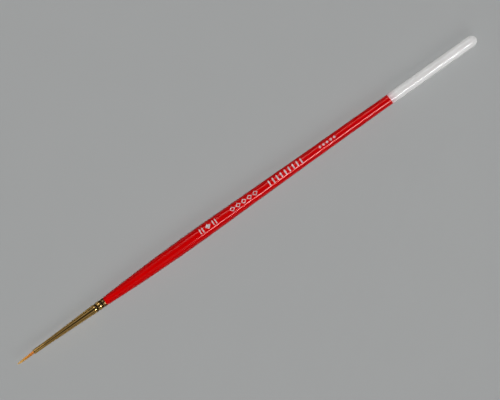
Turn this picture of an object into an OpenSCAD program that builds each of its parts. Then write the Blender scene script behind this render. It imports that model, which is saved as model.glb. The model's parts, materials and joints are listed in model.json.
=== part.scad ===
// Short-handled round detail brush: a turned wooden handle under lacquer, a drawn
// brass ferrule crimped onto its tenon, and a fine pointed tuft of hair.
//
// The brush lies along X with the tip of its hairs at +X, and +Z is up. X = 0 is
// halfway along the brush, and Z = 0 is the underside of the handle's belly.
// Lengths along the brush are measured from the tip of the hairs, and called s.

/* [Handle] */
// Length of the handle behind the ferrule
handle_l = 145.5; // [135:0.5:160]
// Diameter where the handle leaves the ferrule
neck_d = 2.84; // [2.82:0.02:3]
// Diameter at the belly
belly_d = 4.68; // [4.3:0.02:5.2]
// Distance from the ferrule to the belly
belly_back = 36.5; // [32:0.5:42]
// Diameter where the white dip begins
waist_d = 3.44; // [3.2:0.02:3.7]
// How much thinner the lacquered handle is at the end of its tail
tail_thinning = 0.08; // [0.04:0.02:0.12]
// Length of the white dip at the tail
dip_l = 34; // [26:0.5:40]
// Length over which the end of the tail is rounded
tail_round = 2.3; // [1.4:0.1:3]

/* [Coats] */
// Thickness of the sealing coat on the wood
undercoat_t = 0.05; // [0.05:0.01:0.08]
// Thickness of the red lacquer
lacquer_t = 0.1; // [0.08:0.01:0.14]
// Thickness of the white dip behind its thin edge
dip_t = 0.13; // [0.1:0.01:0.16]
// Thickness of the stamped foil
foil_t = 0.04; // [0.03:0.01:0.05]

/* [Ferrule] */
// Length of the ferrule
ferrule_l = 28; // [25:0.5:32]
// Outside diameter at the mouth
mouth_d = 1.48; // [1.4:0.02:1.6]
// Outside diameter at the handle
ferrule_d = 2.8; // [2.7:0.02:2.8]
// Thickness of the tube
tube_t = 0.26; // [0.22:0.01:0.28]
// Length of the straight neck behind the mouth
ferrule_neck = 4.5; // [3:0.5:6]
// Depth of each of the two crimps
crimp_depth = 0.13; // [0.06:0.01:0.16]
// Width of each crimp
crimp_w = 1.2; // [0.8:0.1:1.4]
// Distance between the crimps
crimp_pitch = 1.9; // [1.6:0.1:2.2]

/* [Tuft] */
// Length of the hairs in front of the ferrule
tuft_l = 6.5; // [6:0.5:9]
// Diameter of the tuft at the ferrule
tuft_d = 0.92; // [0.88:0.02:0.96]
// Diameter at the very tip
point_d = 0.1; // [0.08:0.01:0.16]
// Distance between the places where the tuft bends
bend_pitch = 0.95; // [0.9:0.05:1.1]
// Gap round each bend's dome
bend_gap = 0.03; // [0.02:0.01:0.04]

/* [Hidden] */

round_fn = 96;

// stations along the brush, from the tip of the hairs
mouth_s = tuft_l;
rear_s = mouth_s + ferrule_l;
belly_s = rear_s + belly_back;
end_s = rear_s + handle_l;
dip_s = end_s - dip_l;

axis_z = belly_d / 2;
neck_r = neck_d / 2;
belly_r = belly_d / 2;
waist_r = waist_d / 2;
tail_r = waist_r - tail_thinning / 2;
dip_r = waist_r + dip_t;

// how the handle's outline swells from the ferrule and thins behind the belly
neck_slope = 0.048;
neck_reach = 12;
belly_reach_front = 15;
belly_reach_rear = 5;
thin_reach = 28;
thin_over = 0.14;
swell_steps = 14;
taper_steps = 20;
round_steps = 8;

// the dip's edge: a thin lip that thickens to the full coat
lip_t = 0.05;
lip_l = 0.2;
lip_run = 3.6;

// the ferrule's profile
mouth_r = mouth_d / 2;
ferrule_r = ferrule_d / 2;
neck_end_s = mouth_s + ferrule_neck;
cone_end_back = 2.7;
cone_end_s = rear_s - cone_end_back;
crimp_rear_back = 1.45;
crimp_s = [rear_s - crimp_rear_back - crimp_pitch, rear_s - crimp_rear_back];
crimp_steps = 10;
edge_break = 0.06;
lip_fall = 0.07;
lip_back = 0.45;

// what the ferrule holds
glue_t = 0.05;
tenon_l = 14;
tenon_nose = 0.4;
roots_l = 9.5;
roots_gap = 0.02;
roots_flare = 0.14;
roots_edge = 0.2;
cement_front_s = mouth_s + 8.2;
cement_rear_s = mouth_s + 12.2;
bind_s = mouth_s + 6.4;
bind_turns = 5;
thread_d = 0.13;
bind_l = bind_turns * thread_d;
bind_neck_r = 0.4;
bind_slope_l = 0.5;

// the tuft keeps most of its width almost to the tip, and bends at these places, from
// the ferrule forward
rim_share = 0.6;
taper_power = 0.3;
point_r = point_d / 2;
tuft_r = tuft_d / 2;
bend_s = [for (i = [0:3]) mouth_s - rim_share * tuft_r - i * bend_pitch];

// foil marks, as seen from above with the tip to the right, and how far each group's
// middle lies behind the ferrule
foil_turn = 14;
foil_front_back = 40.7;
foil_middle_back = 54.7;
foil_long_back = 70.9;
foil_rear_back = 87.3;
mark_h = 1.8;
front_lozenge_w = 2;
front_bar_w = 0.4;
front_bar_pitch = 1;
front_pair_out = 2.5;
open_lozenge_w = 1.9;
open_lozenge_pitch = 2.2;
open_line_w = 0.26;
long_bar_w = 0.5;
long_bar_pitch = 1.55;
small_lozenge_w = 1;
small_lozenge_pitch = 1.4;

function bezier(a, b, c, d, t) =
    pow(1 - t, 3) * a + 3 * pow(1 - t, 2) * t * b + 3 * (1 - t) * t * t * c + t * t * t * d;
function curve(a, b, c, d, steps) = [for (i = [0:steps]) bezier(a, b, c, d, i / steps)];
function reverse(list) = [for (i = [len(list) - 1:-1:0]) list[i]];
function inset(points, depth) = [for (p = points) [p[0] - depth, p[1]]];
function lerp(a, b, t) = a + (b - a) * t;
function clamp01(t) = max(0, min(1, t));

// a round end of radius r that reaches s, as [radius, s] points that end on the axis
function round_end(r, s) = [
    for (i = [0:round_steps])
        let (a = 90 * i / round_steps)
        [r * cos(a), s - tail_round * (1 - sin(a))]
];

// the lacquer's outside in [radius, s], or a surface that lies depth under it
function swell() = curve(
    [neck_r, rear_s],
    [neck_r + neck_slope * neck_reach, rear_s + neck_reach],
    [belly_r, belly_s - belly_reach_front],
    [belly_r, belly_s],
    swell_steps
);
function taper() = curve(
    [belly_r, belly_s],
    [belly_r, belly_s + belly_reach_rear],
    [waist_r + thin_over, belly_s + thin_reach],
    [waist_r, dip_s],
    taper_steps
);
function handle_outline(depth) = concat(
    inset(swell(), depth),
    [for (i = [1:taper_steps]) inset(taper(), depth)[i]],
    round_end(tail_r - depth, end_s - dip_t - depth)
);

// the ferrule's outside radius at s, with its two crimps and its turned-in rear edge
function crimp(s) = crimp_depth * max([
    for (c = crimp_s) abs(s - c) < crimp_w / 2 ? pow(cos(180 * (s - c) / crimp_w), 2) : 0
]);
function cone(s) = lerp(mouth_r, ferrule_r, clamp01((s - neck_end_s) / (cone_end_s - neck_end_s)));
function rear_lip(s) = lip_fall * pow(clamp01((s - rear_s + lip_back) / lip_back), 2);
function tube_r(s) = cone(s) - crimp(s) - rear_lip(s);
function bore_r(s) = cone(s) - crimp(s) - tube_t;
crimp_stations = [
    for (c = crimp_s, i = [0:crimp_steps]) c + crimp_w * (i / crimp_steps - 0.5)
];
lip_stations = [for (i = [0:4]) rear_s - lip_back * (1 - i / 4)];
// cone_end_s lies between the crimps, so it keeps its place among their stations
function crimped(front, rear) = [
    for (s = concat(
        [for (c = crimp_stations) if (c < cone_end_s) c],
        [cone_end_s],
        [for (c = crimp_stations) if (c > cone_end_s) c]
    )) if (s > front && s < rear) s
];

// the tuft's radius at s
function hair_r(s) = point_r + (tuft_r - point_r) * pow(s / mouth_s, taper_power);

// revolves an outline of [radius, s] points about the brush's axis
module turned(points) {
    translate([brush_x(0), 0, axis_z])
        rotate([0, -90, 0])
            rotate_extrude($fn = round_fn)
                polygon(points);
}
function brush_x(s) = end_s / 2 - s;

// ------------------------------------------------------------------ handle

// Turned wood, with a tenon that fills the ferrule
module handle_core() {
    depth = undercoat_t + lacquer_t;
    tenon_s = rear_s - tenon_l;
    tenon = [
        for (s = concat([tenon_s + tenon_nose], crimped(tenon_s + tenon_nose, rear_s), [rear_s]))
            [bore_r(s) - glue_t, s]
    ];
    color("burlywood")
        turned(concat(
            [[0, tenon_s], [bore_r(tenon_s) - glue_t - tenon_nose / 2, tenon_s]],
            tenon,
            handle_outline(depth)
        ));
}

// A coat on the handle, between two depths under the lacquer's surface
module coat(over, under) {
    turned(concat(handle_outline(over), reverse(handle_outline(under))));
}

module undercoat() {
    color("bisque") coat(lacquer_t, lacquer_t + undercoat_t);
}

module red_lacquer() {
    color([0.78, 0.01, 0.01]) coat(0, lacquer_t);
}

// White paint over the red, in a thin lip at its front edge
module tail_dip() {
    color([0.88, 0.87, 0.86])
        turned(concat(
            [[waist_r, dip_s], [waist_r + lip_t, dip_s + lip_l], [dip_r, dip_s + lip_run]],
            round_end(dip_r, end_s),
            reverse(round_end(tail_r, end_s - dip_t))
        ));
}

// ------------------------------------------------------------------ foil marks

// Stamps the children, flat shapes with the tip of the brush to the right, onto the
// lacquer round s
module stamped(s) {
    color([0.86, 0.8, 0.8])
        intersection() {
            coat(-foil_t, 0);
            translate([brush_x(s), 0, axis_z])
                rotate([foil_turn, 0, 0])
                    linear_extrude(height = belly_d)
                        children();
        }
}

module lozenge(w, h) {
    polygon([[-w / 2, 0], [0, -h / 2], [w / 2, 0], [0, h / 2]]);
}

// A lozenge drawn in a line, with sides that slope by about 45 degrees
module open_lozenge(w, h, line) {
    inner = 2 * sqrt(2) * line;
    difference() {
        lozenge(w, h);
        lozenge(w - inner, h - inner);
    }
}

// Repeats the children in a row along the brush, centred
module in_a_row(count, pitch) {
    for (i = [0:count - 1])
        translate([(i - (count - 1) / 2) * pitch, 0])
            children();
}

// A lozenge between two pairs of bars
module foil_front() {
    stamped(rear_s + foil_front_back) {
        lozenge(front_lozenge_w, mark_h);
        for (side = [-1, 1])
            translate([side * front_pair_out, 0])
                in_a_row(2, front_bar_pitch)
                    square([front_bar_w, mark_h], center = true);
    }
}

// Open lozenges
module foil_middle() {
    stamped(rear_s + foil_middle_back)
        in_a_row(5, open_lozenge_pitch)
            open_lozenge(open_lozenge_w, mark_h, open_line_w);
}

// Upright bars
module foil_long() {
    stamped(rear_s + foil_long_back)
        in_a_row(9, long_bar_pitch)
            square([long_bar_w, mark_h], center = true);
}

// Small lozenges
module foil_rear() {
    stamped(rear_s + foil_rear_back)
        in_a_row(5, small_lozenge_pitch)
            lozenge(small_lozenge_w, small_lozenge_w);
}

// ------------------------------------------------------------------ ferrule

// Drawn brass tube, crimped twice at the handle
module ferrule() {
    outside = concat(
        [[mouth_r - edge_break, mouth_s], [mouth_r, mouth_s + edge_break], [mouth_r, neck_end_s]],
        [for (s = crimped(neck_end_s, rear_s - lip_back)) [tube_r(s), s]],
        [for (s = lip_stations) [tube_r(s), s]]
    );
    inside = [for (s = concat([mouth_s, neck_end_s], crimped(neck_end_s, rear_s), [rear_s])) [bore_r(s), s]];
    color([0.62, 0.48, 0.25]) turned(concat(outside, reverse(inside)));
}

// Glue between the tenon and the tube
module tenon_glue() {
    front = rear_s - tenon_l + tenon_nose;
    stations = concat([front], crimped(front, rear_s), [rear_s]);
    color("khaki")
        turned(concat(
            [for (s = stations) [bore_r(s), s]],
            reverse([for (s = stations) [bore_r(s) - glue_t, s]])
        ));
}

// ------------------------------------------------------------------ hair

// A quarter round from the axis at s + r to the radius r at s
function dome(s, r) = [
    for (i = [0:round_steps])
        let (a = 90 * i / round_steps)
        [r * sin(a), s + r * cos(a)]
];

// The dish that the dome at bend i turns in, from its rim to its bottom on the axis
function dish(i) =
    let (s = bend_s[i], r = hair_r(s) + bend_gap, rim = acos(rim_share * hair_r(s) / r))
    [
        for (k = [0:round_steps])
            let (a = rim * (1 - k / round_steps))
            [r * sin(a), s + r * cos(a)]
    ];

// The bundle inside the ferrule, necked where it is bound
module hair_roots() {
    bore = tuft_r + roots_gap;
    root_s = mouth_s + roots_l;
    flare_r = bind_neck_r + roots_flare;
    color([0.6, 0.36, 0.16])
        turned(concat(
            reverse(dish(0)),
            [
                [bore, mouth_s],
                [bore, bind_s - bind_slope_l],
                [bind_neck_r, bind_s],
                [bind_neck_r, bind_s + bind_l],
                [flare_r, bind_s + bind_l + bind_slope_l],
                [flare_r, root_s - roots_edge],
                [flare_r - roots_edge, root_s],
                [0, root_s],
            ]
        ));
}

// Thread wound round the roots, turn beside turn
module binding_thread() {
    half = thread_d / 2;
    turns = [
        for (i = [0:bind_turns - 1], k = [0:4])
            let (a = 180 * k / 4)
            [bind_neck_r + half + half * sin(a), bind_s + half * (2 * i + 1 - cos(a))]
    ];
    color("ivory")
        turned(concat(
            [[bind_neck_r, bind_s]],
            turns,
            [[bind_neck_r, bind_s + bind_l]]
        ));
}

// Cement that fixes the roots in the tube
module root_cement() {
    root_s = mouth_s + roots_l;
    flare_r = bind_neck_r + roots_flare;
    color("goldenrod")
        turned([
            [flare_r, cement_front_s],
            [bore_r(cement_front_s), cement_front_s],
            [bore_r(cement_rear_s), cement_rear_s],
            [0, cement_rear_s],
            [0, root_s],
            [flare_r - roots_edge, root_s],
            [flare_r, root_s - roots_edge],
        ]);
}

// One length of the tuft, from the dome at bend i to the dish for the next bend
module tuft_length(i, shade) {
    front_s = bend_s[i];
    rim_s = bend_s[i + 1] + rim_share * hair_r(bend_s[i + 1]);
    color(shade)
        turned(concat(
            dome(front_s, hair_r(front_s)),
            [for (k = [1:3]) let (s = lerp(front_s, rim_s, k / 3)) [hair_r(s), s]],
            dish(i + 1)
        ));
}

module tuft_base() {
    tuft_length(0, [0.72, 0.4, 0.17]);
}

module tuft_belly() {
    tuft_length(1, [0.74, 0.44, 0.2]);
}

module tuft_taper() {
    tuft_length(2, [0.76, 0.49, 0.25]);
}

// The last length, down to the tip
module tuft_point() {
    front_s = bend_s[3];
    steps = 8;
    color([0.78, 0.56, 0.32])
        turned(concat(
            dome(front_s, hair_r(front_s)),
            [for (k = [1:steps]) let (s = front_s * pow(1 - k / steps, 2)) [hair_r(s), s]],
            [[0, 0]]
        ));
}

handle_core();
undercoat();
red_lacquer();
tail_dip();
foil_front();
foil_middle();
foil_long();
foil_rear();
ferrule();
tenon_glue();
root_cement();
hair_roots();
binding_thread();
tuft_base();
tuft_belly();
tuft_taper();
tuft_point();
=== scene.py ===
import json
import math
import random

import bmesh
import bpy
import numpy as np
from mathutils import Matrix, Vector


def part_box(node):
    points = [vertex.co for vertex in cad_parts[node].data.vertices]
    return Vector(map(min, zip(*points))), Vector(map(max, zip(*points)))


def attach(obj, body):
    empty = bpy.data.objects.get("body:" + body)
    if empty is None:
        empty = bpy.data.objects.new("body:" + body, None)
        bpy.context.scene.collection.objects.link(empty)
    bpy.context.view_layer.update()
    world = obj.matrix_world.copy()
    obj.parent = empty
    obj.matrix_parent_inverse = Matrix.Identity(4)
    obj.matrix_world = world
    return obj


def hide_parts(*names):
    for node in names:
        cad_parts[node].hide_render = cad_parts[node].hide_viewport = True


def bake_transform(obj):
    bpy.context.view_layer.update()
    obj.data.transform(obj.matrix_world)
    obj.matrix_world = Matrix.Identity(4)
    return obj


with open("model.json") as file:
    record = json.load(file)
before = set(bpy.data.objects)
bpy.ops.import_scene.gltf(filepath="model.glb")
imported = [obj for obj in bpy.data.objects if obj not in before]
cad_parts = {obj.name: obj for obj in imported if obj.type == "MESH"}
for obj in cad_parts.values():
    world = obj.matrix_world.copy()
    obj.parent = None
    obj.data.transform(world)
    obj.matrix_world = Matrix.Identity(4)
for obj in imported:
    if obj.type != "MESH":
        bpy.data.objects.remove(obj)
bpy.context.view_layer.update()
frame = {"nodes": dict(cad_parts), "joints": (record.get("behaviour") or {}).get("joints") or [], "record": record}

# A fine detail brush that lies along X with the tip of its hairs at +X. Lengths are in
# metres. Every piece is turned about the brush's axis or laid round it, and places come
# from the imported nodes. The light and the floor stand for a table under a lamp.

MM = 0.001
AXIS_Z = frame["record"]["mounts"][0]["pos_m"][2]
PIN_END_X = frame["record"]["mounts"][0]["pos_m"][0]
TIP_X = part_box("tuft_point")[1].x
MOUTH_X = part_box("ferrule")[1].x
REAR_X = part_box("ferrule")[0].x
DIP_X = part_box("tail_dip")[1].x
END_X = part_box("tail_dip")[0].x
PIVOT_X = [joint["pos_m"][0] for joint in frame["joints"]]

SIDES = 128  # facets round every turned piece


# ---------------------------------------------------------------- the frame's outlines

def outline(node, bore=False):
    """The stations of a turned node's outside, or of its bore: x from the tail forward, and
    the radius at each."""
    mesh = frame["nodes"][node].data
    found = {}
    for face in mesh.polygons:
        out = face.normal.y * face.center.y + face.normal.z * (face.center.z - AXIS_Z)
        closes_an_end = abs(face.normal.x) > 0.999
        if closes_an_end or (out < 0) != bore:
            continue
        for k in face.vertices:
            corner = mesh.vertices[k].co
            r = math.hypot(corner.y, corner.z - AXIS_Z)
            x = round(corner.x, 7)
            found[x] = (min if bore else max)(found.get(x, r), r)
    xs = sorted(found)
    return np.array(xs), np.array([found[x] for x in xs])


def softened(xs, rs, step, width):
    """The outline again, every step along it and averaged over width, with its ends kept."""
    fine = np.linspace(xs[0], xs[-1], round((xs[-1] - xs[0]) / step) + 1)
    even = np.interp(fine, xs, rs)
    reach = max(1, round(width / step / 2))
    kept = []
    for i in range(len(fine)):
        near = min(reach, i, len(fine) - 1 - i)
        kept.append(even[i - near:i + near + 1].mean())
    return fine, np.array(kept)


LACQUER = outline("red_lacquer")
ROOTS = outline("hair_roots")


def radius_at(x, stations):
    """The radius at x, between the stations of an outline."""
    return float(np.interp(x, *stations))


def lacquer_radius(x):
    return radius_at(x, LACQUER)


# ---------------------------------------------------------------- mesh builders

def round_the_axis(x, r, angle):
    return (x, r * math.cos(angle), AXIS_Z + r * math.sin(angle))


def finished(name, bm, body, slot, material, *nodes, sharp=35):
    """Turns a bmesh into a shaded piece that rides on a body and stands for CAD nodes."""
    bmesh.ops.recalc_face_normals(bm, faces=bm.faces)
    mesh = bpy.data.meshes.new(name)
    bm.to_mesh(mesh)
    bm.free()
    mesh.shade_smooth()
    mesh.set_sharp_from_angle(angle=math.radians(sharp))
    mesh.materials.append(material)
    piece = bpy.data.objects.new(name, mesh)
    bpy.context.scene.collection.objects.link(piece)
    if body:
        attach(piece, body)
    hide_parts(*nodes)
    return piece


def turned(loop, uneven=None, sides=SIDES):
    """A bmesh turned from a closed loop of (x, radius). uneven(x, angle) gives a shift in
    x and in radius."""
    bm = bmesh.new()
    turns = [math.tau * k / sides for k in range(sides)]
    rings = []
    for x, r in loop:
        if r < 1e-7:
            rings.append([bm.verts.new((x, 0, AXIS_Z))])
            continue
        ring = []
        for angle in turns:
            dx, dr = uneven(x, angle) if uneven else (0, 0)
            ring.append(bm.verts.new(round_the_axis(x + dx, r + dr, angle)))
        rings.append(ring)
    for one, two in zip(rings, rings[1:] + rings[:1]):
        for k in range(sides):
            corners = [one[k % len(one)], one[(k + 1) % len(one)],
                       two[(k + 1) % len(two)], two[k % len(two)]]
            corners = list(dict.fromkeys(corners))
            if len(corners) > 2:
                bm.faces.new(corners)
    return bm


def waves(angle, seed, turns=(1, 2, 3, 5)):
    """A smooth wave round the brush, between about -1 and 1, that a seed changes."""
    drawn = random.Random(seed)
    total = 0
    for n in turns:
        total += drawn.uniform(0.4, 1) * math.sin(n * angle + drawn.uniform(0, math.tau)) / n
    return total / 1.5


# ---------------------------------------------------------------- materials

class Nodes:
    """A node tree, with short ways to add nodes to it."""

    def __init__(self, tree):
        self.tree = tree

    def node(self, kind, **sockets):
        made = self.tree.nodes.new("ShaderNode" + kind)
        for socket, value in sockets.items():
            self.put(value, made.inputs[socket.replace("_", " ")])
        return made

    def put(self, value, socket):
        """Links an output into a socket, or sets the socket to a plain value."""
        if isinstance(value, bpy.types.NodeSocket):
            self.tree.links.new(value, socket)
        else:
            socket.default_value = value

    def range(self, value, low, high, to_low=0, to_high=1):
        found = self.node("MapRange", Value=value)
        for socket, number in (("From Min", low), ("From Max", high),
                               ("To Min", to_low), ("To Max", to_high)):
            found.inputs[socket].default_value = number
        return found.outputs["Result"]

    def maths(self, operation, a, b=0.0):
        done = self.node("Math")
        done.operation = operation
        self.put(a, done.inputs[0])
        self.put(b, done.inputs[1])
        return done.outputs["Value"]

    def mix(self, share, a, b):
        """A colour between a and b, each a colour or an output."""
        done = self.node("Mix")
        done.data_type = "RGBA"
        self.put(share, done.inputs["Factor"])
        for value, socket in ((a, done.inputs[6]), (b, done.inputs[7])):
            self.put((*value, 1) if isinstance(value, tuple) else value, socket)
        return done.outputs[2]

    def ramp(self, value, stops):
        """A grey that follows (value, grey) stops."""
        made = self.node("ValToRGB", Fac=value)
        elements = made.color_ramp.elements
        while len(elements) < len(stops):
            elements.new(0.5)
        for element, (position, grey) in zip(elements, stops):
            element.position = position
            element.color = (grey, grey, grey, 1)
        return made.outputs["Color"]


class Paint(Nodes):
    """A material with one shader."""

    def __init__(self, name, colour, roughness, **sockets):
        self.material = bpy.data.materials.new(name)
        self.material.use_nodes = True
        super().__init__(self.material.node_tree)
        self.shader = self.tree.nodes["Principled BSDF"]
        self.shader.inputs["Base Color"].default_value = (*colour, 1)
        self.shader.inputs["Roughness"].default_value = roughness
        for socket, value in sockets.items():
            self.shader.inputs[socket.replace("_", " ")].default_value = value

    def place(self, x=1, y=1, z=1):
        """The point on the brush in millimetres, squeezed along each axis."""
        place = self.node("TexCoord").outputs["Object"]
        scaled = self.node("Mapping", Vector=place)
        scaled.inputs["Scale"].default_value = (x / MM, y / MM, z / MM)
        return scaled.outputs["Vector"]

    def noise(self, place, scale=1, detail=2, roughness=0.5):
        return self.node("TexNoise", Vector=place, Scale=scale, Detail=detail,
                         Roughness=roughness).outputs["Fac"]

    def bump(self, height, depth, under=None):
        """Adds a relief of this many metres to the shader, over an earlier one."""
        bump = self.node("Bump", Height=height, Distance=depth)
        if under:
            self.put(under, bump.inputs["Normal"])
        self.put(bump.outputs["Normal"], self.shader.inputs["Normal"])
        self.put(bump.outputs["Normal"], self.shader.inputs["Coat Normal"])
        return bump.outputs["Normal"]

    def sets(self, socket, value):
        self.put(value, self.shader.inputs[socket])


def lacquer_paint():
    """Red gloss lacquer: slow waves, orange peel and a few specks of dust under it."""
    paint = Paint("red_lacquer", (0.64, 0.0005, 0.0008), 0.3, Specular_IOR_Level=0.0,
                  Coat_Weight=1.0, Coat_Roughness=0.1, Coat_IOR=1.25)
    along = paint.place(0.12, 1, 1)
    streaks = paint.noise(along, 0.9, 3)
    colour = paint.mix(paint.range(streaks, 0.35, 0.7),
                       (0.63, 0.0004, 0.0006), (0.72, 0.0006, 0.001))
    specks = paint.node("TexVoronoi", Vector=paint.place(), Scale=0.55).outputs["Distance"]
    speck = paint.range(specks, 0.045, 0.02)
    paint.sets("Base Color", paint.mix(speck, colour, (0.38, 0.001, 0.001)))
    rubbed = paint.noise(paint.place(0.2, 1, 1), 0.6, 4)
    paint.sets("Roughness", paint.range(rubbed, 0.3, 0.8, 0.18, 0.34))
    waves_under = paint.bump(paint.noise(paint.place(0.3, 0.7, 0.7), 0.5, 1), 0.001 * MM)
    peel = paint.bump(paint.noise(paint.place(), 2.2, 1), 0.0004 * MM, waves_under)
    paint.bump(speck, 0.003 * MM, peel)
    return paint.material


def dip_paint():
    """White gloss paint that lets the red through where it thins towards its front edge."""
    paint = Paint("white_dip", (0.8, 0.79, 0.78), 0.4, Specular_IOR_Level=0.0,
                  Coat_Weight=1.0, Coat_Roughness=0.1, Coat_IOR=1.35, Diffuse_Roughness=0.5)
    x = paint.node("SeparateXYZ", Vector=paint.place()).outputs["X"]
    front = DIP_X / MM
    thin = paint.range(x, front - 4.0, front - 0.1)
    ragged = paint.range(paint.noise(paint.place(0.5, 1, 1), 0.6, 1), 0, 1, -0.06, 0.06)
    uneven = paint.maths("MAXIMUM", paint.maths("ADD", thin, ragged), 0.0)
    sheer = paint.maths("POWER", uneven, 2.2)
    cloud = paint.noise(paint.place(0.15, 0.6, 0.6), 0.7, 3)
    white = paint.mix(paint.range(cloud, 0.3, 0.7), (0.80, 0.79, 0.785), (0.86, 0.855, 0.85))
    pink = (0.62, 0.22, 0.27)
    paint.sets("Base Color", paint.mix(paint.maths("MULTIPLY", sheer, 0.6), white, pink))
    waves_under = paint.bump(paint.noise(paint.place(0.25, 0.8, 0.8), 0.6, 1), 0.001 * MM)
    paint.bump(paint.noise(paint.place(), 2.5, 1), 0.0004 * MM, waves_under)
    return paint.material


def brass_paint():
    """Drawn brass: fine lines along the tube, tarnished, duller where it is rubbed at its
    mouth, with painted shade and grime darkening the crimp grooves, and grime at the handle."""
    paint = Paint("brass", (0.74, 0.45, 0.14), 0.12, Metallic=1.0,
                  Specular_Tint=(0.35, 0.3, 0.2, 1))
    drawn = paint.noise(paint.place(0.08, 9, 9), 1.4, 4, 0.6)
    cloud = paint.noise(paint.place(0.35, 1, 1), 0.8, 4, 0.6)
    x = paint.node("SeparateXYZ", Vector=paint.place()).outputs["X"]
    rear, mouth = REAR_X / MM, MOUTH_X / MM

    near_handle = paint.range(x, rear + 1.9, rear + 1.2, 0, 0.75)
    tarnish = paint.maths("ADD", paint.range(cloud, 0.5, 0.75, 0, 0.15), near_handle)
    sunk = paint.node("Attribute")
    sunk.attribute_name = "sunk"
    depth = paint.maths("ADD", sunk.outputs["Fac"], paint.range(cloud, 0, 1, -0.15, 0.15))
    joint = paint.range(x, rear + 0.9, rear + 0.45, 0, 0.8)
    # Painted shade: the crimp grooves darken by how deep each point is sunk, standing for grime and the shade in
    # them; the darkening at the joint is grime.
    dirt_and_shade = paint.maths("MAXIMUM", paint.range(depth, 0.12, 0.45), joint)

    clean = paint.mix(paint.range(drawn, 0.35, 0.7), (0.69, 0.41, 0.12), (0.78, 0.49, 0.17))
    colour = paint.mix(tarnish, clean, (0.36, 0.22, 0.09))
    # One dark brown for the painted shade and grime in the crimp grooves and the grime at the joint.
    paint.sets("Base Color", paint.mix(dirt_and_shade, colour, (0.10, 0.06, 0.03)))
    rubbed = paint.range(x, mouth - 12, mouth - 1.5, 0, 0.07)
    dull = paint.maths("ADD", rubbed, paint.maths("MULTIPLY", joint, 0.3))
    paint.sets("Roughness", paint.maths("ADD", paint.range(cloud, 0.3, 0.75, 0.1, 0.16), dull))
    paint.bump(drawn, 0.0003 * MM)
    return paint.material


def foil_paint():
    """Stamped silver foil, worn through to the red in places."""
    paint = Paint("foil", (0.85, 0.78, 0.79), 0.42, Metallic=0.35)
    wear = paint.noise(paint.place(), 3.2, 4, 0.65)
    worn = paint.range(wear, 0.70, 0.78)
    patches = paint.range(paint.noise(paint.place(), 1.3, 3), 0.3, 0.7)
    tone = paint.mix(patches, (0.56, 0.42, 0.43), (0.86, 0.77, 0.77))
    paint.sets("Base Color", paint.mix(worn, tone, (0.50, 0.01, 0.015)))
    paint.sets("Metallic", paint.range(wear, 0.70, 0.78, 0.35, 0.0))
    paint.bump(wear, 0.004 * MM)
    return paint.material


def hair_paint():
    """Tapered filaments, orange-brown at the ferrule and pale at the tip. "along" and
    "shade" come from the hairs' own points."""
    paint = Paint("hair", (0.6, 0.3, 0.09), 0.38, Coat_Weight=0.15, Coat_Roughness=0.25)
    along = paint.node("Attribute")
    along.attribute_name = "along"
    shade = paint.node("Attribute")
    shade.attribute_name = "shade"
    ramp = paint.node("ValToRGB", Fac=along.outputs["Fac"])
    stops = ramp.color_ramp.elements
    stops[0].position, stops[0].color = 0.0, (0.82, 0.27, 0.025, 1)
    stops[1].position, stops[1].color = 1.0, (0.97, 0.74, 0.30, 1)
    middle = stops.new(0.5)
    middle.color = (0.90, 0.44, 0.06, 1)
    own = paint.mix(shade.outputs["Fac"], (0.62, 0.55, 0.5), (1.25, 1.2, 1.1))
    tinted = paint.node("Mix")
    tinted.data_type, tinted.blend_type = "RGBA", "MULTIPLY"
    tinted.inputs["Factor"].default_value = 1
    paint.put(ramp.outputs["Color"], tinted.inputs[6])
    paint.put(own, tinted.inputs[7])
    paint.sets("Base Color", tinted.outputs[2])
    paint.sets("Roughness", paint.range(shade.outputs["Fac"], 0, 1, 0.46, 0.3))
    return paint.material


def wood_paint():
    paint = Paint("wood", (0.60, 0.42, 0.22), 0.6)
    grain = paint.noise(paint.place(0.05, 3, 3), 1.2, 5, 0.6)
    paint.sets("Base Color", paint.mix(grain, (0.42, 0.27, 0.13), (0.68, 0.50, 0.29)))
    paint.bump(grain, 0.01 * MM)
    return paint.material


def plain_paint(name, dark, light, roughness, scale, depth):
    """A clouded coat, for what lies inside."""
    paint = Paint(name, light, roughness)
    cloud = paint.noise(paint.place(), scale, 3)
    paint.sets("Base Color", paint.mix(cloud, dark, light))
    paint.bump(cloud, depth)
    return paint.material


def thread_paint():
    """Twisted thread, as slanting bands round each turn."""
    paint = Paint("thread", (0.75, 0.68, 0.55), 0.8)
    twist = paint.node("TexWave", Vector=paint.place(2, 1, 1), Scale=3.0, Distortion=0.6)
    twist.bands_direction = "DIAGONAL"
    paint.sets("Base Color", paint.mix(twist.outputs["Fac"],
                                       (0.52, 0.45, 0.34), (0.80, 0.74, 0.62)))
    paint.bump(twist.outputs["Fac"], 0.02 * MM)
    return paint.material


# ---------------------------------------------------------------- handle

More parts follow.
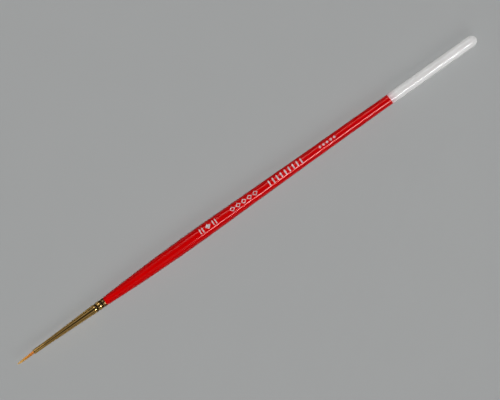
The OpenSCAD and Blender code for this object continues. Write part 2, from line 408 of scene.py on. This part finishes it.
def lacquer_skin(paint):
    """The red coat, with the slow unevenness of turned wood, rounded in at the ferrule."""
    smooth_from = DIP_X - 1 * MM
    solid_to = END_X + 1 * MM
    fade, wave_l, wave_h = 6 * MM, 7.3 * MM, 0.002 * MM
    xs, rs = softened(*LACQUER, 0.5 * MM, 4 * MM)
    inner = list(zip(*outline("undercoat")))
    body = [(x, r) for x, r in zip(xs, rs) if smooth_from < x < REAR_X - 0.1 * MM]
    edge = [(REAR_X - 0.05 * MM, rs[-1] - 0.01 * MM), (REAR_X, rs[-1] - 0.045 * MM)]
    tail = [(x, r) for x, r in zip(*LACQUER) if x <= smooth_from]
    inside = [(x, r) for x, r in inner if x > solid_to][::-1]
    tail_inside = [(x, r) for x, r in inner if x <= solid_to][::-1]
    loop = tail + body + edge + inside + tail_inside

    def uneven(x, angle):
        ends = min(1, max(0, (REAR_X - x) / fade), max(0, (x - DIP_X) / fade))
        slow = math.sin(x / wave_l + 1.7 * math.sin(angle)) * waves(angle, 3, (1, 2))
        return 0, wave_h * slow * ends

    return finished("lacquer_skin", turned(loop, uneven), "handle", "red_lacquer", paint,
                    "red_lacquer")


def quarter(steps):
    """The angles of a quarter turn, from none to 90 degrees."""
    return [math.pi / 2 * k / steps for k in range(steps + 1)]


def dip_coat(paint):
    """The white coat, with a wavering front edge that stands up in a thin lip."""
    thinning_l, thinning_step = 3.6 * MM, 0.2 * MM
    bead_l, lip, shell = 0.1 * MM, 0.05 * MM, 0.13 * MM
    waver_l, waver = 3 * MM, 0.10 * MM
    wave_l, wave_h = 5.1 * MM, 0.0015 * MM
    outside = outline("tail_dip")
    tail_round = PIN_END_X - END_X
    pin_r = radius_at(PIN_END_X, outside)
    lip_r = lacquer_radius(DIP_X)
    end = [(PIN_END_X - tail_round * math.sin(a), pin_r * math.cos(a))
           for a in quarter(20)[::-1]]
    pin = [(x, pin_r) for x in np.arange(PIN_END_X, DIP_X - thinning_l, 0.5 * MM)[1:]]
    thins = [(x, radius_at(x, outside))
             for x in np.arange(DIP_X - thinning_l, DIP_X - thinning_step, thinning_step)]
    bead = [(DIP_X - bead_l + bead_l * math.sin(a), lip_r + lip * math.cos(a))
            for a in quarter(5)]
    inside = [(x, r) for x, r in zip(*outline("tail_dip", bore=True))
              if PIN_END_X < x < DIP_X - 0.05 * MM][::-1]
    inside_end = [(x + (shell if r < 1e-9 else 0), max(0, r - shell)) for x, r in end][::-1]
    loop = end + pin + thins + bead + inside + inside_end[1:]

    def uneven(x, angle):
        near = max(0, 1 - (DIP_X - x) / waver_l) ** 2
        slow = wave_h * math.sin(x / wave_l + angle) if x > PIN_END_X else 0
        return waver * (waves(angle, 11) - 1) * near, slow * (1 - near)

    return finished("dip_coat", turned(loop, uneven), "handle", "white_dip", paint, "tail_dip")


# ---------------------------------------------------------------- foil marks

FOIL_TURN = math.radians(14)  # how far the marks lean towards -Y
FOIL_T = 0.03 * MM
FOIL_SINK = 0.01 * MM
MARK_H = 1.8 * MM
RAGGED = 0.012 * MM


def on_lacquer(u, v, lift):
    """The point over the lacquer at u along the brush and v across, in the stamp's own plan."""
    r = lacquer_radius(u) + lift
    up = math.sqrt(r * r - v * v)
    y = v * math.cos(FOIL_TURN) - up * math.sin(FOIL_TURN)
    z = v * math.sin(FOIL_TURN) + up * math.cos(FOIL_TURN)
    return (u, y, AXIS_Z + z)


def film(bm, rows, joined, drawn):
    """One mark as a thin closed film over a grid of (u, v), joined end to end or not."""
    last_row, last = len(rows) - 1, len(rows[0]) - 1
    top, bottom = [], []
    for i, row in enumerate(rows):
        edge_row = not joined and i in (0, last_row)
        top.append([])
        bottom.append([])
        for j, (u, v) in enumerate(row):
            edge = edge_row or j in (0, last)
            u += drawn.uniform(-RAGGED, RAGGED) if edge else 0
            top[-1].append(bm.verts.new(on_lacquer(u, v, 0 if edge else FOIL_T)))
            bottom[-1].append(bm.verts.new(on_lacquer(u, v, -FOIL_SINK)))
    pairs = [(i, (i + 1) % len(rows)) for i in range(len(rows) if joined else last_row)]
    for i, k in pairs:
        for j in range(last):
            for side in (top, bottom):
                bm.faces.new((side[i][j], side[i][j + 1], side[k][j + 1], side[k][j]))
        for j in (0, last):
            bm.faces.new((top[i][j], top[k][j], bottom[k][j], bottom[i][j]))
    if not joined:
        for i in (0, last_row):
            for j in range(last):
                bm.faces.new((top[i][j], top[i][j + 1], bottom[i][j + 1], bottom[i][j]))


def even(count):
    """Evenly spaced numbers from -1 to 1."""
    return [-1 + 2 * i / (count - 1) for i in range(count)]


def bar(at, w, h):
    """Rows of a bar across the brush, with its corners rounded off."""
    rows = []
    for t in even(15):
        half = w / 2 * (1 - 0.35 * abs(t) ** 12)
        rows.append([(at + half * s, t * h / 2) for s in even(7)])
    return rows, False


def lozenge(at, w, h):
    """Rows of a lozenge, with its two points blunted."""
    rows = []
    for t in even(17):
        half = w / 2 * max(0.06, 1 - abs(t))
        rows.append([(at + half * s, t * h / 2) for s in even(9)])
    return rows, False


def open_lozenge(at, w, h, line):
    """Rows of a lozenge drawn as a line, all the way round, from its outside inwards."""
    around, across = 40, 4
    rows = []
    for i in range(around):
        turn = math.tau * i / around
        c, s = math.cos(turn), math.sin(turn)
        reach = 1 / (abs(c) + abs(s))
        row = []
        for j in range(across + 1):
            inset = 1 - j / across * 2.4 * line / h
            row.append((at + w / 2 * inset * reach * c, h / 2 * inset * reach * s))
        rows.append(row)
    return rows, True


def row_of(count, pitch, centre):
    return [centre + (i - (count - 1) / 2) * pitch for i in range(count)]


def foil_marks(node, marks, paint, seed):
    """One group of marks, laid on the lacquer in the middle of its CAD node."""
    drawn = random.Random(seed)
    bm = bmesh.new()
    for rows, joined in marks:
        film(bm, rows, joined, drawn)
    return finished(node + "_marks", bm, "handle", "foil", paint, node, sharp=60)


def foil_groups(paint):
    def middle(node):
        low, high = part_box(node)
        return (low.x + high.x) / 2

    front = middle("foil_front")
    marks = [lozenge(front, 2 * MM, MARK_H)]
    for side in (-1, 1):
        for at in row_of(2, 1 * MM, front + side * 2.5 * MM):
            marks.append(bar(at, 0.4 * MM, MARK_H))
    foil_marks("foil_front", marks, paint, 21)
    marks = [open_lozenge(at, 1.9 * MM, MARK_H, 0.3 * MM)
             for at in row_of(5, 2.2 * MM, middle("foil_middle"))]
    foil_marks("foil_middle", marks, paint, 22)
    marks = [bar(at, 0.5 * MM, MARK_H) for at in row_of(9, 1.55 * MM, middle("foil_long"))]
    foil_marks("foil_long", marks, paint, 23)
    marks = [lozenge(at, 1 * MM, 1 * MM) for at in row_of(5, 1.4 * MM, middle("foil_rear"))]
    foil_marks("foil_rear", marks, paint, 24)


# ---------------------------------------------------------------- ferrule

def ferrule_tube(paint):
    """The drawn tube, with its crimps smoothed, its mouth rolled round and its rear turned
    in. How far each point is sunk tells the brass where to paint grime and shade in the crimp grooves."""
    step, rim = 0.06 * MM, 0.1 * MM
    crimps_x, crimps_l, dent = REAR_X + 2.6 * MM, 1.6 * MM, 0.008 * MM
    stations = outline("ferrule")
    bore = outline("ferrule", bore=True)
    fine = np.arange(REAR_X + 0.02 * MM, MOUTH_X - 0.12 * MM, step)
    outside = [(x, radius_at(x, stations)) for x in fine]
    mouth_r = radius_at(MOUTH_X - 1 * MM, stations)
    bore_r = float(bore[1][-1])
    middle_r, half_wall = (mouth_r + bore_r) / 2, (mouth_r - bore_r) / 2
    mouth = []
    for k in range(9):
        a = math.pi * k / 8
        mouth.append((MOUTH_X - rim + rim * math.sin(a), middle_r + half_wall * math.cos(a)))
    inside = [(x, r) for x, r in zip(*bore) if x < MOUTH_X - 1.2 * rim][::-1]

    def uneven(x, angle):
        crimped = math.exp(-((x - crimps_x) / crimps_l) ** 2)
        return 0, dent * waves(angle, 5, (2, 3, 5)) * crimped

    bm = turned(outside + mouth + inside, uneven)
    sunk = bm.verts.layers.float.new("sunk")
    crimped_xs = [x for x in fine if x < REAR_X + 6 * MM]
    full_rs = [max(r for at, r in outside if abs(at - x) < 0.8 * MM) for x in crimped_xs]
    for vertex in bm.verts:
        if vertex.co.x < crimped_xs[-1]:
            r = math.hypot(vertex.co.y, vertex.co.z - AXIS_Z)
            vertex[sunk] = (radius_at(vertex.co.x, (crimped_xs, full_rs)) - r) / (0.15 * MM)
    return finished("ferrule_tube", bm, "handle", "brass", paint, "ferrule")


# ---------------------------------------------------------------- hair

HAIRS = 140
HAIR_R = 0.033 * MM
HAIR_SIDES = 6
HAIR_STEP = 0.15 * MM
ROOT_STEP = 0.5 * MM
TIP_R = 0.05 * MM
GOLDEN_TURN = math.pi * (3 - math.sqrt(5))
TAPER_L = 4.5 * MM     # each hair narrows over this length
THINNEST = 0.16        # to this share of its radius
SHORTEST = 1.3 * MM    # the outer hairs end up to this far behind the tip
TWIST = 0.25           # the most that a hair turns round the others, in radians
WAVER = 0.02 * MM      # the most that it strays from its path
LEAN = 0.14 * MM       # of the tip, towards +Y
SPLAY = 0.5            # how much wider the +Y side is at the tip


def half_width(node):
    low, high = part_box(node)
    return (high.y - low.y) / 2


FIRST_R = half_width("tuft_base")
LAST_R = half_width("tuft_point")
TAPER = math.log((FIRST_R - TIP_R) / (LAST_R - TIP_R)) / math.log(
    (TIP_X - PIVOT_X[0]) / (TIP_X - PIVOT_X[3]))


def bundle_radius(x):
    """The hair bundle's radius at x: a pointed tuft in front of the mouth, the roots behind it."""
    s = min(TIP_X - x, TIP_X - MOUTH_X)
    tuft = TIP_R + (FIRST_R - TIP_R) * (max(s, 0) / (TIP_X - PIVOT_X[0])) ** TAPER
    return tuft if x > MOUTH_X - 0.3 * MM else radius_at(x, ROOTS)


def hair(k, drawn):
    """What makes hair k its own: where it runs, where it ends, how it wavers and its shade."""
    out = math.sqrt((k + 0.5) / HAIRS)
    return {
        "out": out,
        "turn": k * GOLDEN_TURN,
        "end_x": TIP_X - (SHORTEST * out * drawn.random() if k else 0),
        "twist": drawn.uniform(-TWIST, TWIST),
        "waver": drawn.uniform(0, WAVER),
        "phase": drawn.uniform(0, math.tau),
        "shade": drawn.random(),
    }


def beyond_mouth(x):
    """How far x lies from the ferrule's mouth, at 0, to the tip, at 1."""
    return min(1, max(0, (x - MOUTH_X) / (TIP_X - MOUTH_X)))


def hair_ring(one, x):
    """The centre and radius of a hair at x."""
    left = max(one["end_x"] - x, 0)
    r = HAIR_R * max(THINNEST, min(1, left / TAPER_L) ** 0.6)
    free = beyond_mouth(x)
    angle = one["turn"] + one["twist"] * free
    splayed = 1 + SPLAY * free * max(0, math.cos(angle)) ** 2
    out = max(0, bundle_radius(x) - r) * one["out"] * splayed
    waver = one["waver"] * free * math.sin(one["phase"] + 2.2 * free)
    y = out * math.cos(angle) + waver * math.cos(one["phase"]) + LEAN * free
    z = out * math.sin(angle) + waver * math.sin(one["phase"])
    return y, AXIS_Z + z, r


def strands(hairs, start_x, end_x, step):
    """Every hair between two places along the brush, each a closed tapered tube."""
    bm = bmesh.new()
    along = bm.verts.layers.float.new("along")
    shade = bm.verts.layers.float.new("shade")
    turns = [math.tau * k / HAIR_SIDES for k in range(HAIR_SIDES)]
    for one in hairs:
        far = min(end_x, one["end_x"])
        if far - start_x < 0.02 * MM:
            continue
        count = max(2, round((far - start_x) / step) + 1)
        rings = []
        for x in np.linspace(start_x, far, count):
            y, z, r = hair_ring(one, x)
            ring = []
            for angle in turns:
                vertex = bm.verts.new((x, y + r * math.cos(angle), z + r * math.sin(angle)))
                vertex[along] = beyond_mouth(x)
                vertex[shade] = one["shade"]
                ring.append(vertex)
            rings.append(ring)
        for front, back in zip(rings, rings[1:]):
            for k in range(HAIR_SIDES):
                n = (k + 1) % HAIR_SIDES
                bm.faces.new((front[k], front[n], back[n], back[k]))
        bm.faces.new(rings[0])
        bm.faces.new(rings[-1])
    return bm


def tuft(paint):
    """The roots in the ferrule, and the four lengths of the tuft, cut halfway between the joints' pivots."""
    drawn = random.Random(7)
    hairs = [hair(k, drawn) for k in range(HAIRS)]
    root_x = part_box("hair_roots")[0].x
    inside_x = MOUTH_X - 0.4 * MM
    finished("hair_root_strands", strands(hairs, root_x, inside_x, ROOT_STEP), "handle",
             "hair", paint, "hair_roots", sharp=60)
    between = [(a + b) / 2 for a, b in zip(PIVOT_X, PIVOT_X[1:])]
    cuts = [inside_x] + between + [TIP_X]
    nodes = ["tuft_base", "tuft_belly", "tuft_taper", "tuft_point"]
    for i, node in enumerate(nodes):
        bm = strands(hairs, cuts[i], cuts[i + 1], HAIR_STEP)
        piece = finished(node + "_hairs", bm, None, "hair", paint, node, sharp=60)
        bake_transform(piece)


# ---------------------------------------------------------------- what lies inside

def hidden_nodes():
    """Materials for the CAD nodes that stay."""
    paints = {
        "handle_core": wood_paint(),
        "undercoat": plain_paint("undercoat", (0.66, 0.58, 0.45), (0.75, 0.68, 0.55),
                                 0.5, 0.6, 0.004 * MM),
        "tenon_glue": plain_paint("glue", (0.50, 0.38, 0.18), (0.66, 0.55, 0.32),
                                  0.25, 1.2, 0.01 * MM),
        "root_cement": plain_paint("cement", (0.42, 0.24, 0.07), (0.60, 0.38, 0.13),
                                   0.3, 2.0, 0.02 * MM),
        "binding_thread": thread_paint(),
    }
    for node, paint in paints.items():
        slots = frame["nodes"][node].data.materials
        slots.clear()
        slots.append(paint)


# ---------------------------------------------------------------- stage, light and camera

VIEW_TURN = math.radians(35.4)
VIEW_AT = Vector((-1.03 * MM, 0.41 * MM, AXIS_Z))
VIEW_FROM = 0.8
VIEW_W = 159.85 * MM
SENSOR = 36
FLOOR_HALF = 1
STRIP_W = 0.08
STRIPS_MEET = (-0.02, 0.37, 0.42)


def stage_floor():
    mesh = bpy.data.meshes.new("floor")
    corners = [(x * FLOOR_HALF, y * FLOOR_HALF, 0)
               for x, y in ((-1, -1), (1, -1), (1, 1), (-1, 1))]
    mesh.from_pydata(corners, [], [(0, 1, 2, 3)])
    floor = bpy.data.objects.new("floor", mesh)
    bpy.context.scene.collection.objects.link(floor)
    paint = Paint("floor", (0.44, 0.45, 0.45), 0.75, Specular_IOR_Level=0.0)
    cloud = paint.noise(paint.place(0.05, 0.05, 0.05), 1, 3)
    paint.sets("Base Color", paint.mix(cloud, (0.432, 0.441, 0.441), (0.442, 0.451, 0.451)))
    mesh.materials.append(paint.material)


def lamp(name, length, width, radiance):
    """A rectangular lamp that the camera doesn't see."""
    data = bpy.data.lights.new(name, "AREA")
    data.shape = "RECTANGLE"
    data.size, data.size_y = length, width
    data.energy = radiance * math.pi * data.size * data.size_y
    light = bpy.data.objects.new(name, data)
    bpy.context.scene.collection.objects.link(light)
    light.visible_camera = False
    return light


def soft_light(name, tilt, distance, length, width, radiance):
    """A lamp that faces the brush and doesn't show in gloss. A tilt leans it towards +Y."""
    light = lamp(name, length, width, radiance)
    a = math.radians(tilt)
    light.location = (0, distance * math.sin(a), AXIS_Z + distance * math.cos(a))
    light.rotation_euler = (-a, 0, 0)
    light.visible_glossy = False


def strip(name, one, two, radiance):
    """A lamp between two points over the brush that only shows in gloss."""
    one, two = Vector(one), Vector(two)
    light = lamp(name, (two - one).length, STRIP_W, radiance)
    centre = (one + two) / 2
    along = (two - one).normalized()
    back = centre - Vector((centre.x, 0, AXIS_Z))
    back = (back - back.dot(along) * along).normalized()
    turn = Matrix((along, back.cross(along), back)).transposed()
    light.matrix_world = Matrix.Translation(centre) @ turn.to_4x4()
    light.visible_diffuse = False


def room():
    """What the gloss shows beside the strips: dark overhead and ahead, a paler ring round
    that, a card on the -Y side and a faint glow low on the +Y side."""
    world = bpy.data.worlds.new("room")
    bpy.context.scene.world = world
    world.use_nodes = True
    world.cycles_visibility.diffuse = False
    nodes = Nodes(world.node_tree)
    towards = nodes.node("TexCoord").outputs["Generated"]
    x, y, z = nodes.node("SeparateXYZ", Vector=towards).outputs
    # along and across are tangents of the angle from straight up
    above = nodes.maths("MAXIMUM", z, 0.05)
    along, across = nodes.maths("DIVIDE", x, above), nodes.maths("DIVIDE", y, above)

    def band(value, middle, half, soft, radiance):
        """Radiance within half of the middle, softened at both sides."""
        off = nodes.maths("ABSOLUTE", nodes.maths("SUBTRACT", value, middle))
        made = nodes.range(off, half + soft, half - soft, 0, radiance)
        made.node.interpolation_type = "SMOOTHSTEP"
        return made

    card = nodes.maths("MULTIPLY", band(across, -1.12, 0.26, 0.14, 6.0),
                       band(along, -0.14, 0.20, 0.10, 1.0))
    glow = nodes.maths("MULTIPLY", band(z, 0.24, 0.14, 0.06, 0.07), nodes.range(y, 0.0, 0.3))
    ring = nodes.ramp(z, ((0.0, 0.28), (0.05, 0.26), (0.09, 0.04), (0.35, 0.05),
                          (0.62, 0.31), (0.80, 0.38), (0.90, 0.38), (0.955, 0.006)))
    ahead = nodes.maths("MULTIPLY", nodes.range(z, 0.2, 0.45),
                        nodes.range(x, 0.06, 0.3, 0, 0.75))
    total = nodes.maths("MULTIPLY", ring, nodes.maths("SUBTRACT", 1.0, ahead))
    for lit in (card, glow):
        total = nodes.maths("ADD", total, lit)
    nodes.put(total, world.node_tree.nodes["Background"].inputs["Color"])


def camera():
    data = bpy.data.cameras.new("camera")
    data.sensor_width = SENSOR
    data.lens = SENSOR * VIEW_FROM / VIEW_W
    data.clip_start, data.clip_end = 0.01, 20
    view = bpy.data.objects.new("camera", data)
    bpy.context.scene.collection.objects.link(view)
    view.location = VIEW_AT + Vector((0, 0, VIEW_FROM))
    view.rotation_euler = (0, 0, math.pi - VIEW_TURN)
    bpy.context.scene.camera = view
    bpy.context.scene.view_settings.view_transform = "Standard"


camera()
soft_light("above", 0, 3, 0.28, 0.28, 250)
soft_light("window", 52, 3.7, 2.3, 1.85, 1.6)
strip("key_rear", (-0.17, 0.33, 0.42), STRIPS_MEET, 46)
strip("key_front", STRIPS_MEET, (0.027, 0.40, 0.42), 34)
room()
stage_floor()
lacquer_skin(lacquer_paint())
dip_coat(dip_paint())
foil_groups(foil_paint())
ferrule_tube(brass_paint())
tuft(hair_paint())
hidden_nodes()
